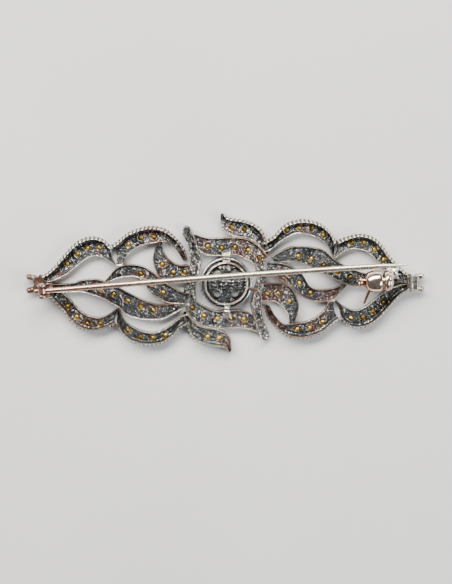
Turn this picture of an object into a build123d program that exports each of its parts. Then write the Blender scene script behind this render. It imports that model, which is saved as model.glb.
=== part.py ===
from build123d import *
import math
import os

# A marcasite bar brooch lying on its front, with the pin side up.
# The length runs along X with the pin's hinge at -X, and Z = 0 is the plane the front rests on.
# The openwork has half-turn symmetry about Z, so one half is drawn and turned to make the other.

# Overall sizes, mm
LENGTH = 70.0
WIDTH = 25.0

# Ribbons
FLOOR = 0.9            # thickness of a ribbon's floor
WALL_TOP = 2.1         # height of the tall outer wall
WALL = 0.35            # thickness of the tall outer wall
LIP_TOP = 1.4          # height of the low inner lip
LIP = 0.25             # thickness of the low inner lip
LOW_WALL_TOP = 1.6     # height of the outer lip of a ribbon that has no milled wall
LENS_LONG = 2.6        # length of the slit between two lobes
LENS_WIDE = 0.9
KNOB_R = 0.62          # solder knob on the side fold
KNOB_TOP = 2.7

# Fishtail ends of the bar
TERMINAL_X = -32.9     # middle of the end block, for a brooch 70 mm long
TERMINAL_LONG = 2.0
TERMINAL_WIDE = 3.2
HORN_R = 0.55
HORN_Y = 1.2           # distance of a horn's tip from the middle line
NOTCH_R = 0.6

# Marcasites
STONE_R = 0.72         # girdle radius
STONE_TABLE_R = 0.22   # radius of the flat front
STONE_BACK_R = 0.47    # radius of the back, seen through the seat's hole
STONE_CROWN = 0.3      # height of the crown under the girdle
SEAT_GAP = 0.02        # clearance between a stone and its seat
STONE_RECESS = 0.25    # how far a stone's back stays below the floor's back

# Centre setting
CUP_R = 3.9
CUP_TOP = 2.6
CUP_BOTTOM = 0.2
CUP_RIM = 0.4          # width of the cup's raised rim
CUP_GROOVE = 0.35      # width and depth of the groove inside the rim
CUP_BAR = 1.1          # width of the bar across the cup's back
RING_WIRE = 0.5        # thickness of the ring's wall
RING_BOTTOM = 0.5
RING_TOP = 1.9
RING_GAP = 0.17        # open slit between the cup and the ring
BRIDGE_WIDE = 1.9
STRAP_WIDE = 1.5
STRAP_X = 0.15         # place of the lower strap's middle
STRIP_WIDE = 0.7
STRIP_END = 5.9        # for a brooch 70 mm long
STRIP_TURN = -13       # degrees
STRAP_THICK = 0.5
STRAP_LEG = 0.6        # length of a strap's foot on the band
STRAP_GRIP = 0.4       # how far a strap reaches over the cup
PASTE_R = 1.33         # girdle radius of a centre stone
PASTE_GIRDLE = 0.5     # height of the girdle's front edge
PASTE_BELT = 0.4       # thickness of the girdle
PASTE_DEEP = 0.8       # depth of the pavilion's seat
PASTE_BACK = 0.6       # width of the pavilion's cut-off end, as a share of the girdle
PASTE_X = 1.5          # place of each centre stone
PASTE_Y = 1.6
WINDOW_X = 1.65        # place of each window in the cup's back
WINDOW_Y = 1.85
WINDOW_RX = 0.75
WINDOW_RY = 0.9

# Hinge and pin
HINGE_X = -32.0        # for a brooch 70 mm long
HINGE_Y = -1.0
RIVET_HEIGHT = 4.1
RIVET_R = 0.35
HEAD_COVER = 0.07      # how far a rivet head covers the cheek round the worn hole
RIVET_HEAD = 0.15      # thickness of a rivet head
HEAD_GAP = 0.06        # clearance between a head and its cheek
WORN_GAP = 0.12        # clearance of the worn holes in the cheeks
EYE_GAP = 0.03         # clearance of the pin's eye on the rivet
EYE_R = 0.75
EYE_THICK = 0.8
CHEEK_SPACE = 1.5      # room between the cheeks
CHEEK = 0.45           # thickness of a cheek
CHEEK_R = 0.8          # rounded top of a cheek
BASE_TOP = 2.5         # top of the hinge's base and of the catch's foot
HINGE_BASE_LONG = 2.7
HINGE_BASE_SHIFT = 0.45  # middle of the base, from the rivet
STOP_X = 1.5           # middle of the stop, from the rivet
STOP_LONG = 0.6
TAIL = 1.4             # length of the pin's tail behind the rivet
TAIL_HIGH = 0.6
STOP_GAP = 0.02        # room between the stem and the stop at rest
PIN_R = 0.5
PIN_ROOT_R = 0.42
PIN_BOW = 0.2          # sideways bow of the stem
PIN_PAST_CATCH = 5.3   # length of the point beyond the middle of the catch
PIN_SIDE_GAP = 0.18    # room between the free pin and the catch at rest

# Catch
CATCH_X = 26.6         # for a brooch 70 mm long
CATCH_Y = 0.6
CATCH_HEIGHT = 4.6
CATCH_TURN = 0.93      # turn of the catch's axis in plan, degrees
ROTOR_R = 1.95
ROTOR_LONG = 3.0
ROTOR_START = -2.5     # left end of the rotor, from the middle of the catch
BEAD_R = 1.85
BEAD_START = 0.85
BEAD_LONG = 1.55
TUBE_START = -3.5
BORE_GAP = 0.16        # clearance between the pin and the tube
TUBE_WALL = 0.26
TUBE_FLARE = 0.09
ROTOR_GAP = 0.05       # running clearance of the rotor on the tube
SLOT_GAP = 0.15        # room above and below the pin in the rotor's slot
TUBE_SLOT_GAP = 0.1    # and in the tube's slot
BARREL_ROUND = 1.0     # rounding of the barrel's two ends
GROOVE_ROUND = 0.25    # rounding on both sides of the groove
LEVER_WIDE = 0.45
LEVER_DEEP = 0.9
LEVER_LONG = 2.4
LEVER_LEAN = 22        # lean of the lever towards the hinge, degrees
LEVER_DROP = 10        # drop of the lever towards the front, degrees
NECK_X = 1.75          # middle of the bead's neck, from the middle of the catch
NECK_Y = 0.6
NECK_LONG = 1.1
NECK_WIDE = 1.3
FOOT_X = 2.6           # middle of the foot, from the middle of the catch
FOOT_Y = 1.1
FOOT_LONG = 2.4
FOOT_WIDE = 2.2

along = LENGTH / 70.0
across = WIDTH / 25.0
hinge_x = HINGE_X * along
hinge_y = HINGE_Y * across
catch_x = CATCH_X * along
catch_y = CATCH_Y * across
ring_r = CUP_R + RING_GAP + RING_WIRE

# Centre and turn of the slits between the lobes, for a brooch 70 x 25 mm
UPPER_LENS = ((-19.7, 5.1), 12)
LOWER_LENS = ((-19.3, -6.1), 0)

# Place of the upper band's lower edge on the middle line, for a brooch 25 mm wide
BAND_EDGE = 4.75

# Points on the edges of the ribbons of the left half, for a brooch 70 x 25 mm.
# "outer" is the edge with the tall wall; "inner" runs the same way along the other edge.
left_ribbons = {
    "outer_lobe_upper": dict(
        wall_top=WALL_TOP,
        outer=[(-32.6, 1.2), (-30.9, 2.35), (-28.9, 4.6), (-26.9, 6.8), (-25.2, 7.9), (-23.2, 8.3),
               (-21.5, 7.8), (-20.3, 6.7)],
        inner=[(-32.2, 0.2), (-30.4, 0.4), (-28.2, 1.35), (-26.5, 2.6), (-24.5, 4.2), (-22.7, 4.8),
               (-21.0, 4.2), (-19.3, 3.0)],
        lens=UPPER_LENS,
        stones=[(-27.8, 3.5), (-26.0, 5.1), (-24.2, 6.2), (-22.1, 6.3)]),
    "inner_lobe_upper": dict(
        wall_top=WALL_TOP,
        outer=[(-20.3, 6.7), (-19.0, 7.5), (-17.1, 9.0), (-14.8, 9.9), (-12.6, 10.1), (-10.4, 9.5),
               (-8.7, 8.0), (-7.2, 6.0), (-6.7, 4.1)],
        inner=[(-19.1, 3.0), (-18.1, 3.3), (-17.3, 4.8), (-15.8, 6.05), (-14.1, 6.8), (-12.6, 7.0),
               (-10.4, 7.3), (-8.9, 6.05), (-7.6, 4.0)],
        lens=UPPER_LENS,
        stones=[(-17.1, 6.9), (-14.9, 8.0), (-12.6, 8.2)]),
    "outer_lobe_lower": dict(
        wall_top=WALL_TOP,
        outer=[(-32.2, -1.5), (-31.0, -2.5), (-28.9, -4.8), (-27.7, -6.5), (-26.2, -7.9), (-24.2, -8.6),
               (-22.5, -8.5), (-20.5, -7.9), (-19.3, -7.5)],
        inner=[(-29.6, -0.9), (-27.7, -2.3), (-26.5, -3.7), (-25.0, -5.2), (-23.5, -5.8), (-22.0, -5.9),
               (-20.5, -5.3), (-19.1, -4.2)],
        lens=LOWER_LENS,
        stones=[(-27.8, -4.0), (-26.2, -5.9), (-24.3, -7.1), (-22.1, -7.1)]),
    "inner_lobe_lower": dict(
        wall_top=WALL_TOP,
        outer=[(-19.3, -7.5), (-18.1, -9.25), (-16.6, -10.5), (-14.8, -11.1), (-12.9, -11.2),
               (-10.9, -10.7), (-9.4, -9.6), (-8.4, -8.4), (-6.4, -7.4)],
        inner=[(-19.0, -4.2), (-17.6, -6.7), (-15.8, -7.9), (-14.1, -8.5), (-12.4, -8.6), (-10.7, -7.9),
               (-9.2, -6.9), (-7.9, -5.8), (-6.2, -5.2)],
        lens=LOWER_LENS,
        stones=[(-17.2, -8.4), (-15.1, -9.6), (-12.9, -9.7), (-10.7, -9.3)]),
    "s_ribbon_upper": dict(
        wall_top=LOW_WALL_TOP,
        outer=[(-21.3, 0.4), (-20.5, 1.35), (-19.3, 2.7), (-18.1, 3.3), (-15.8, 3.3), (-14.1, 2.85),
               (-12.6, 1.7), (-11.4, 0.6), (-10.2, -0.1), (-8.9, -0.9), (-6.9, -1.9)],
        inner=[(-20.9, 0.2), (-19.3, 0.8), (-17.6, 1.1), (-15.8, 1.1), (-14.6, 0.4), (-13.6, -1.35),
               (-12.6, -2.3), (-11.2, -3.1), (-9.7, -3.6), (-7.4, -3.6)],
        stones=[(-14.9, 1.8), (-13.0, 0.0), (-11.0, -1.6)]),
    "s_ribbon_lower": dict(
        wall_top=LOW_WALL_TOP,
        outer=[(-32.2, 0.3), (-30.4, -0.1), (-26.9, 0.1), (-25.5, 0.6), (-23.5, 0.8), (-21.8, 0.6),
               (-19.0, -0.6), (-16.6, -1.85), (-14.1, -3.1), (-11.6, -3.7), (-8.6, -3.6)],
        inner=[(-32.2, -1.6), (-29.8, -1.6), (-26.7, -1.5), (-25.2, -1.55), (-23.5, -2.0), (-21.5, -2.8),
               (-19.0, -4.2), (-17.3, -5.7), (-15.3, -6.3), (-13.4, -6.5), (-10.9, -6.3), (-7.7, -4.6)],
        stones=[(-21.9, -1.0), (-19.7, -1.9), (-17.2, -3.1), (-15.0, -4.2), (-12.8, -4.8)]),
    "crescent": dict(
        wall_top=LOW_WALL_TOP,
        outer=[(-11.7, 7.6), (-12.5, 6.05), (-12.9, 4.3), (-12.6, 2.85), (-11.9, 1.3), (-10.6, 0.2)],
        inner=[(-11.1, 7.4), (-10.8, 5.6), (-9.8, 4.2), (-8.4, 3.3), (-6.9, 3.3), (-5.5, 3.1)],
        end=(-5.5, 0.1),
        stones=[(-11.2, 3.3), (-9.2, 1.85), (-7.25, 1.9)]),
    "side_fold": dict(
        wall_top=LOW_WALL_TOP,
        outer=[(-7.0, 10.3), (-7.7, 9.5), (-7.4, 8.4), (-6.8, 6.9), (-6.4, 5.0), (-6.3, 3.0), (-6.6, 0.9),
               (-6.6, -0.6), (-6.9, -2.6)],
        inner=[(-6.4, 9.9), (-5.7, 8.5), (-5.2, 7.0), (-4.7, 5.3), (-4.4, 4.0), (-4.6, 2.6), (-5.1, 0.8),
               (-5.4, -0.9), (-5.3, -2.4), (-5.0, -3.5)],
        knob=(-6.8, -1.5),
        stones=[]),
}

# The band above the centre and the leaf over it; a half turn gives the lower ones.
centre_ribbons = {
    "band": dict(
        wall_top=LOW_WALL_TOP,
        outer=[(-5.8, 8.7), (-3.5, 8.1), (-1.8, 8.0), (1.2, 8.1), (3.7, 7.8), (5.6, 6.7), (7.2, 4.8)],
        inner=[(-5.0, 5.7), (-3.6, 5.0), (-1.8, BAND_EDGE), (0.2, BAND_EDGE + 0.1), (1.9, BAND_EDGE + 0.1),
               (3.6, 4.1), (4.9, 3.3), (6.1, 1.6)],
        stones=[(-3.2, 6.5), (-0.8, 6.3), (1.5, 6.4), (3.9, 5.8), (5.9, 4.3)]),
    "leaf": dict(
        wall_top=WALL_TOP,
        outer=[(-0.55, 12.5), (0.45, 11.6), (2.9, 11.2), (4.9, 10.6), (6.4, 9.4), (7.1, 7.8), (7.6, 5.4)],
        inner=[(-1.0, 11.9), (-0.9, 10.0), (0.0, 8.8), (1.4, 7.8), (3.7, 7.3), (5.4, 6.2), (6.7, 4.6)],
        stones=[(1.06, 9.9), (3.2, 9.5)]),
}


def place(point):
    """A point drawn for the nominal brooch, moved to the real length and width."""
    return (point[0] * along, point[1] * across)


def edge_line(points):
    return Spline(*[place(point) for point in points])


def ribbon_outline(ribbon):
    """The closed outline of a ribbon as a face on Z = 0."""
    outer = edge_line(ribbon["outer"])
    inner = edge_line(ribbon["inner"])
    ends = [Line(outer @ 0, inner @ 0)]
    if "end" in ribbon:
        corner = place(ribbon["end"])
        ends += [Line(inner @ 1, corner), Line(corner, outer @ 1)]
    else:
        ends += [Line(inner @ 1, outer @ 1)]
    return make_face([outer, inner] + ends)


def edge_band(points, thickness):
    """A strip as wide as twice the thickness, along the middle of an edge line."""
    line = edge_line(points)
    steps = 2 * len(points)
    sides = []
    for side in (-1, 1):
        moved = []
        for step in range(steps + 1):
            spot = line @ (step / steps)
            way = line % (step / steps)
            moved.append((spot.X - side * thickness * way.Y, spot.Y + side * thickness * way.X))
        sides.append(Spline(*moved))
    caps = [Line(sides[0] @ 0, sides[1] @ 0), Line(sides[0] @ 1, sides[1] @ 1)]
    return make_face(sides + caps)


def largest(shape):
    """The main solid that is left after a trim."""
    return max(shape.solids(), key=lambda solid: solid.volume)


def stone_seat(x, y):
    """A tapered seat from the front with a round hole through the floor's back."""
    low = (Align.CENTER, Align.CENTER, Align.MIN)
    crown = Pos(x, y, -STONE_CROWN) * Cylinder(STONE_R, 2 * STONE_CROWN, align=low)
    taper_top = FLOOR - STONE_RECESS
    taper = Pos(x, y, (STONE_CROWN + taper_top) / 2) * Cone(STONE_R, STONE_BACK_R, taper_top - STONE_CROWN)
    hole = Pos(x, y, taper_top) * Cylinder(STONE_BACK_R, FLOOR, align=low)
    return crown + taper + hole


def marcasite(x, y):
    """A six-sided rose-cut stone: a low crown to the front and a blunt back."""
    girdle = RegularPolygon(STONE_R - SEAT_GAP, 6)
    back = RegularPolygon(STONE_BACK_R - SEAT_GAP, 6)
    table = RegularPolygon(STONE_TABLE_R, 6)
    lower = loft([Pos(x, y, SEAT_GAP) * table, Pos(x, y, STONE_CROWN) * girdle])
    upper = loft([Pos(x, y, STONE_CROWN) * girdle, Pos(x, y, FLOOR - STONE_RECESS - SEAT_GAP) * back])
    return lower + upper


def lens_slit(lens):
    """A pointed oval slit through the joint of two lobes."""
    (x, y), turn = lens
    half = LENS_LONG / 2
    bulge = LENS_WIDE / 2
    sides = [ThreePointArc((0, -half), (side * bulge, 0), (0, half)) for side in (-1, 1)]
    oval = Pos(*place((x, y))) * Rot(0, 0, turn) * make_face(sides)
    return extrude(oval, 2 * WALL_TOP)


def ribbon_solid(ribbon):
    """Floor, tall outer wall, low inner lip and stone seats of one ribbon."""
    outline = ribbon_outline(ribbon)
    floor = extrude(outline, FLOOR)
    wall_strip = extrude(edge_band(ribbon["outer"], WALL), ribbon["wall_top"])
    lip_strip = extrude(edge_band(ribbon["inner"], LIP), LIP_TOP)
    wall = extrude(outline, ribbon["wall_top"]) & wall_strip
    lip = extrude(outline, LIP_TOP) & lip_strip
    body = floor + wall + lip
    for point in ribbon["stones"]:
        body -= stone_seat(*place(point))
    if "lens" in ribbon:
        body -= lens_slit(ribbon["lens"])
    if "knob" in ribbon:
        x, y = place(ribbon["knob"])
        body += Pos(x, y, KNOB_TOP / 2) * Cone(KNOB_R, KNOB_R * 0.3, KNOB_TOP)
    return largest(body)


def terminal_solid():
    """Fishtail end of the bar: a block with a notch between two rounded horns."""
    block = Pos(TERMINAL_X * along, 0, WALL_TOP / 2) * Box(TERMINAL_LONG, TERMINAL_WIDE, WALL_TOP)
    block = fillet(block.edges().filter_by(Axis.Z), HORN_R / 2)
    low = (Align.CENTER, Align.CENTER, Align.MIN)
    horn_x = HORN_R - LENGTH / 2
    for side in (-1, 1):
        root = Vector(TERMINAL_X * along, side * (HORN_Y - HORN_R / 2), WALL_TOP / 2)
        end = Vector(horn_x, side * HORN_Y, WALL_TOP / 2)
        way = end - root
        rod = Plane(origin=root, z_dir=way) * Cylinder(HORN_R, way.length, align=low)
        block += rod + Pos(*end) * Sphere(HORN_R)
    notch = Pos(horn_x, 0, 0) * Cylinder(NOTCH_R, 3 * WALL_TOP)
    return largest(block - notch)


def cup_solid():
    """Cup of the centre setting with four seats from the front and four windows in its back."""
    height = CUP_TOP - CUP_BOTTOM
    low = (Align.CENTER, Align.CENTER, Align.MIN)
    cup = Pos(0, 0, CUP_BOTTOM) * Cylinder(CUP_R, height, align=low)
    cup = fillet(cup.edges().group_by(Axis.Z)[-1], CUP_RIM * 0.7)
    groove_r = CUP_R - CUP_RIM
    groove = Cylinder(groove_r, height, align=low) - Cylinder(groove_r - CUP_GROOVE, height, align=low)
    cup -= Pos(0, 0, CUP_TOP - CUP_GROOVE) * groove
    cup += Pos(0, 0, CUP_TOP - CUP_GROOVE) * Box(2 * groove_r, CUP_BAR, CUP_GROOVE, align=low)
    belt_top = PASTE_GIRDLE + PASTE_BELT
    for sx in (-1, 1):
        for sy in (-1, 1):
            seat = Pos(sx * PASTE_X, sy * PASTE_Y, 0) * Cylinder(PASTE_R, belt_top, align=low)
            cone = Cone(PASTE_R, PASTE_BACK * PASTE_R, PASTE_DEEP, align=low)
            seat += Pos(sx * PASTE_X, sy * PASTE_Y, belt_top) * cone
            window = Pos(sx * WINDOW_X, sy * WINDOW_Y, belt_top) * Ellipse(WINDOW_RX, WINDOW_RY)
            cup -= seat + extrude(window, height)
    return largest(cup)


def paste(x, y):
    """A pale paste stone: flat table, bevelled crown and a cut-off pavilion, eight-sided."""
    table = RegularPolygon(PASTE_R * 0.55, 8)
    girdle = RegularPolygon(PASTE_R - SEAT_GAP, 8)
    back = RegularPolygon(PASTE_BACK * PASTE_R - SEAT_GAP, 8)
    belt_top = PASTE_GIRDLE + PASTE_BELT
    crown = loft([Pos(x, y, SEAT_GAP) * table, Pos(x, y, PASTE_GIRDLE) * girdle])
    belt = extrude(Pos(x, y, PASTE_GIRDLE) * girdle, PASTE_BELT)
    pavilion = loft([Pos(x, y, belt_top) * girdle, Pos(x, y, belt_top + PASTE_DEEP - SEAT_GAP) * back])
    return crown + belt + pavilion


def ring_solid():
    """Ring of flat wire round the cup."""
    low = (Align.CENTER, Align.CENTER, Align.MIN)
    inside = CUP_R + RING_GAP
    high = RING_TOP - RING_BOTTOM
    ring = Cylinder(inside + RING_WIRE, high, align=low) - Cylinder(inside, high, align=low)
    ring = chamfer(ring.edges().group_by(Axis.Z)[-1], RING_WIRE / 4)
    return Pos(0, 0, RING_BOTTOM) * ring


def strap_solid(wide, reach):
    """Strap from the cup over the ring, with a foot that stands on the band's floor."""
    start = CUP_R - STRAP_GRIP
    long = reach - start
    low = (Align.CENTER, Align.MIN, Align.MIN)
    top = Pos(0, start, RING_TOP) * Box(wide, long, STRAP_THICK, align=low)
    leg = Pos(0, reach - STRAP_LEG, FLOOR) * Box(wide, STRAP_LEG, RING_TOP + STRAP_THICK - FLOOR, align=low)
    strap = top + leg
    return fillet(strap.edges().group_by(Axis.Z)[-1], STRAP_THICK / 4)


def bridge_solid():
    """Broad strap to the upper band."""
    return strap_solid(BRIDGE_WIDE, BAND_EDGE * across + STRAP_LEG + LIP)


def lower_strap_solid():
    """Narrower and longer strap to the lower band."""
    strap = strap_solid(STRAP_WIDE, BAND_EDGE * across + 2 * STRAP_LEG + LIP)
    return Pos(STRAP_X, 0, 0) * Rot(0, 0, 180) * strap


def side_strip_solid():
    """Thin strip that joins the cup to the right side fold."""
    start = CUP_R - STRAP_GRIP
    long = STRIP_END * along - start
    strip = Box(long, STRIP_WIDE, STRAP_THICK, align=(Align.MIN, Align.CENTER, Align.MIN))
    return Rot(0, 0, STRIP_TURN) * Pos(start, 0, LOW_WALL_TOP) * strip


# The pin's own frame: origin on the rivet, X along the stem at rest, Z up
pin_reach = math.hypot(catch_x - hinge_x, catch_y - hinge_y)
pin_offset = ROTOR_R + PIN_R + PIN_SIDE_GAP
pin_turn = math.degrees(math.atan2(catch_y + pin_offset - hinge_y, catch_x - hinge_x))
pin_rise = math.degrees(math.atan2(CATCH_HEIGHT - RIVET_HEIGHT, pin_reach))
rivet_spot = Pos(hinge_x, hinge_y, RIVET_HEIGHT) * Rot(0, 0, pin_turn)
stem_spot = rivet_spot * Rot(0, -pin_rise, 0)


def hinge_solid():
    """Base on the rims with two rounded cheeks and a stop under the stem."""
    low = (Align.CENTER, Align.CENTER, Align.MIN)
    drop = RIVET_HEIGHT - WALL_TOP
    base_high = BASE_TOP - WALL_TOP
    wide = CHEEK_SPACE + 2 * CHEEK
    hinge = Pos(HINGE_BASE_SHIFT, 0, -drop) * Box(HINGE_BASE_LONG, wide, base_high, align=low)
    for side in (-1, 1):
        y = side * (CHEEK_SPACE + CHEEK) / 2
        web = Pos(0, y, -drop) * Box(2 * CHEEK_R, CHEEK, drop, align=low)
        top = Pos(0, y, 0) * Rot(90, 0, 0) * Cylinder(CHEEK_R, CHEEK)
        hinge += web + top
    stop_high = RIVET_HEIGHT - PIN_ROOT_R - STOP_GAP - BASE_TOP
    stop = Box(STOP_LONG, CHEEK_SPACE + CHEEK, stop_high, align=low)
    hinge += Pos(STOP_X, 0, BASE_TOP - RIVET_HEIGHT) * stop
    hinge -= Rot(90, 0, 0) * Cylinder(RIVET_R + WORN_GAP, 3 * wide)
    return rivet_spot * hinge


def rivet_solid():
    """Shank through both cheeks with a domed head at each end."""
    head_r = RIVET_R + WORN_GAP + HEAD_COVER
    half = CHEEK_SPACE / 2 + CHEEK + HEAD_GAP
    rivet = Rot(90, 0, 0) * Cylinder(RIVET_R, 2 * half + RIVET_HEAD)
    for side in (-1, 1):
        head = Pos(0, side * (half + RIVET_HEAD / 2), 0) * Rot(-90 * side, 0, 0)
        rivet += head * Cone(head_r, head_r * 0.6, RIVET_HEAD)
    return rivet_spot * rivet


def pin_solid():
    """Eye, flattened root, tail, slightly bowed stem and sharp point."""
    reach = pin_reach
    tip = reach + PIN_PAST_CATCH
    stations = [
        (EYE_R * 0.7, 0.0, PIN_ROOT_R),
        (reach * 0.1, PIN_BOW * 0.3, PIN_ROOT_R * 1.1),
        (reach * 0.3, PIN_BOW * 0.75, PIN_R),
        (reach * 0.6, PIN_BOW, PIN_R),
        (reach * 0.93, PIN_BOW * 0.25, PIN_R * 0.95),
        (tip - PIN_PAST_CATCH * 0.7, -PIN_BOW * 0.25, PIN_R * 0.75),
        (tip - PIN_PAST_CATCH * 0.2, -PIN_BOW * 0.6, PIN_R * 0.32),
        (tip, -PIN_BOW * 0.75, PIN_R * 0.08),
    ]
    rounds = []
    for distance, side, radius in stations:
        rounds.append(Plane(origin=(distance, side, 0), x_dir=(0, 1, 0), z_dir=(1, 0, 0)) * Circle(radius))
    stem = loft(rounds, ruled=True)
    eye = Rot(90, 0, 0) * Cylinder(EYE_R, EYE_THICK)
    tail = Pos(-TAIL / 2, 0, 0) * Box(TAIL, EYE_THICK, TAIL_HIGH)
    pin = stem + eye + tail
    pin -= Rot(90, 0, 0) * Cylinder(RIVET_R + EYE_GAP, 3 * EYE_THICK)
    return stem_spot * largest(pin)


# The catch's own frame: origin at the middle of the barrel, X along it, slot towards +Y
catch_spot = Pos(catch_x, catch_y, CATCH_HEIGHT) * Rot(0, 0, CATCH_TURN)


def lying(radius, start, length):
    """A cylinder along X from a start place."""
    return Pos(start + length / 2, 0, 0) * Rot(0, 90, 0) * Cylinder(radius, length)


def slot(half_high):
    """Room cut from the axis out to +Y along the whole barrel."""
    room = 4 * ROTOR_R + ROTOR_LONG + BEAD_LONG
    return Box(room, room, 2 * half_high, align=(Align.CENTER, Align.MIN, Align.CENTER))


def barrel(radius, start, length, left_round, right_round):
    """A lying cylinder with both rims rounded."""
    shape = lying(radius, start, length)
    shape = fillet(shape.edges().group_by(Axis.X)[0], left_round)
    return fillet(shape.edges().group_by(Axis.X)[-1], right_round)


tube_bore = PIN_R + BORE_GAP
tube_r = tube_bore + TUBE_WALL


def catch_body_solid():
    """Fixed bead with the slotted inner tube that the rotor turns on."""
    end = BEAD_START + BEAD_LONG
    bead = barrel(BEAD_R, BEAD_START, BEAD_LONG, GROOVE_ROUND, BARREL_ROUND * 0.8)
    tube = lying(tube_r, TUBE_START, end - BEAD_LONG / 2 - TUBE_START)
    flare = lying(tube_r + TUBE_FLARE, TUBE_START, 2 * TUBE_FLARE)
    neck = Box(NECK_LONG, NECK_WIDE, CATCH_HEIGHT - BASE_TOP, align=(Align.CENTER, Align.CENTER, Align.MAX))
    body = bead + tube + flare + Pos(NECK_X, NECK_Y, 0) * neck
    body -= lying(tube_bore, TUBE_START - 1, end - TUBE_START + 2)
    body -= slot(PIN_R + TUBE_SLOT_GAP)
    return catch_spot * largest(body)


def catch_foot_solid():
    """Block soldered on the floor under the fixed bead's neck."""
    block = Box(FOOT_LONG, FOOT_WIDE, BASE_TOP - FLOOR, align=(Align.CENTER, Align.CENTER, Align.MIN))
    block = fillet(block.edges().filter_by(Axis.Z), FOOT_WIDE / 4)
    block = fillet(block.edges().group_by(Axis.Z)[-1], FOOT_WIDE / 12)
    return Pos(catch_x + FOOT_X, catch_y + FOOT_Y, FLOOR) * block


def rotor_solid():
    """Turning sleeve with a slot and a thumb lever opposite it."""
    sleeve = barrel(ROTOR_R, ROTOR_START, ROTOR_LONG, BARREL_ROUND, GROOVE_ROUND)
    lever_x = ROTOR_START + BARREL_ROUND + LEVER_WIDE
    long = ROTOR_R + LEVER_LONG
    lever = Box(LEVER_WIDE, long, LEVER_DEEP, align=(Align.CENTER, Align.MAX, Align.CENTER))
    lever = fillet(lever.edges().filter_by(Axis.Y), LEVER_WIDE / 3)
    lever = Pos(lever_x, 0, 0) * Rot(LEVER_DROP, 0, 0) * Rot(0, 0, -LEVER_LEAN) * lever
    rotor = sleeve + lever
    rotor -= lying(tube_r + ROTOR_GAP, ROTOR_START - 1, ROTOR_LONG + 2)
    rotor -= slot(PIN_R + SLOT_GAP)
    return catch_spot * largest(rotor)


def trimmed(shape, fixed):
    """What is left of a shape beside the pieces that are already in place."""
    box = shape.bounding_box()
    for other in fixed:
        limit = other.bounding_box()
        apart = (box.min.X > limit.max.X or box.max.X < limit.min.X
                 or box.min.Y > limit.max.Y or box.max.Y < limit.min.Y
                 or box.min.Z > limit.max.Z or box.max.Z < limit.min.Z)
        if not apart:
            shape = shape - other
    return largest(shape)


def half_turn(shape):
    return Rot(0, 0, 180) * shape


def save(name, solids):
    shape = solids[0] if len(solids) == 1 else Compound(children=solids)
    shape.label = name
    export_step(shape, "parts/" + name + ".step")


def frame_pieces():
    """Every piece of the openwork and the centre, each trimmed by the ones before it."""
    pieces = {"centre_setting": cup_solid(), "centre_ring": ring_solid()}
    centre_room = Cylinder(ring_r, 6 * WALL_TOP)
    half = {"terminal": terminal_solid()}
    for name in ("outer_lobe_upper", "outer_lobe_lower", "s_ribbon_lower", "s_ribbon_upper",
                 "inner_lobe_upper", "inner_lobe_lower", "crescent", "side_fold"):
        half[name] = trimmed(ribbon_solid(left_ribbons[name]), [centre_room] + list(half.values()))
    for name, piece in half.items():
        pieces["left_" + name] = piece
        pieces["right_" + name] = half_turn(piece)
    for name in ("band", "leaf"):
        piece = trimmed(ribbon_solid(centre_ribbons[name]), [centre_room] + list(pieces.values()))
        pieces["upper_" + name] = piece
        pieces["lower_" + name] = half_turn(piece)
    for name, shape in (("upper_bridge", bridge_solid()), ("lower_strap", lower_strap_solid()),
                        ("side_strip", side_strip_solid()), ("catch_foot", catch_foot_solid())):
        pieces[name] = trimmed(shape, list(pieces.values()))
    return pieces


def stone_groups():
    """Marcasites of each part of the openwork, and the four paste stones."""
    groups = {
        "upper_marcasites": ("outer_lobe_upper", "inner_lobe_upper"),
        "lower_marcasites": ("outer_lobe_lower", "inner_lobe_lower"),
        "scroll_marcasites": ("s_ribbon_upper", "s_ribbon_lower", "crescent"),
    }
    stones = {}
    for group, names in groups.items():
        spots = [place(point) for name in names for point in left_ribbons[name]["stones"]]
        stones["left_" + group] = [marcasite(x, y) for x, y in spots]
        stones["right_" + group] = [marcasite(-x, -y) for x, y in spots]
    for group in ("band", "leaf"):
        spots = [place(point) for point in centre_ribbons[group]["stones"]]
        stones["upper_" + group + "_marcasites"] = [marcasite(x, y) for x, y in spots]
        stones["lower_" + group + "_marcasites"] = [marcasite(-x, -y) for x, y in spots]
    stones["centre_stones"] = [paste(sx * PASTE_X, sy * PASTE_Y) for sx in (-1, 1) for sy in (-1, 1)]
    return stones


os.makedirs("parts", exist_ok=True)
for name, piece in frame_pieces().items():
    save(name, [piece])
for name, group in stone_groups().items():
    save(name, group)
save("hinge_joint", [hinge_solid()])
save("hinge_rivet", [rivet_solid()])
save("pin_stem", [pin_solid()])
save("catch_body", [catch_body_solid()])
save("catch_rotor", [rotor_solid()])
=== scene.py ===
import bpy
import math
import random
from mathutils import Matrix, Vector, noise


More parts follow.
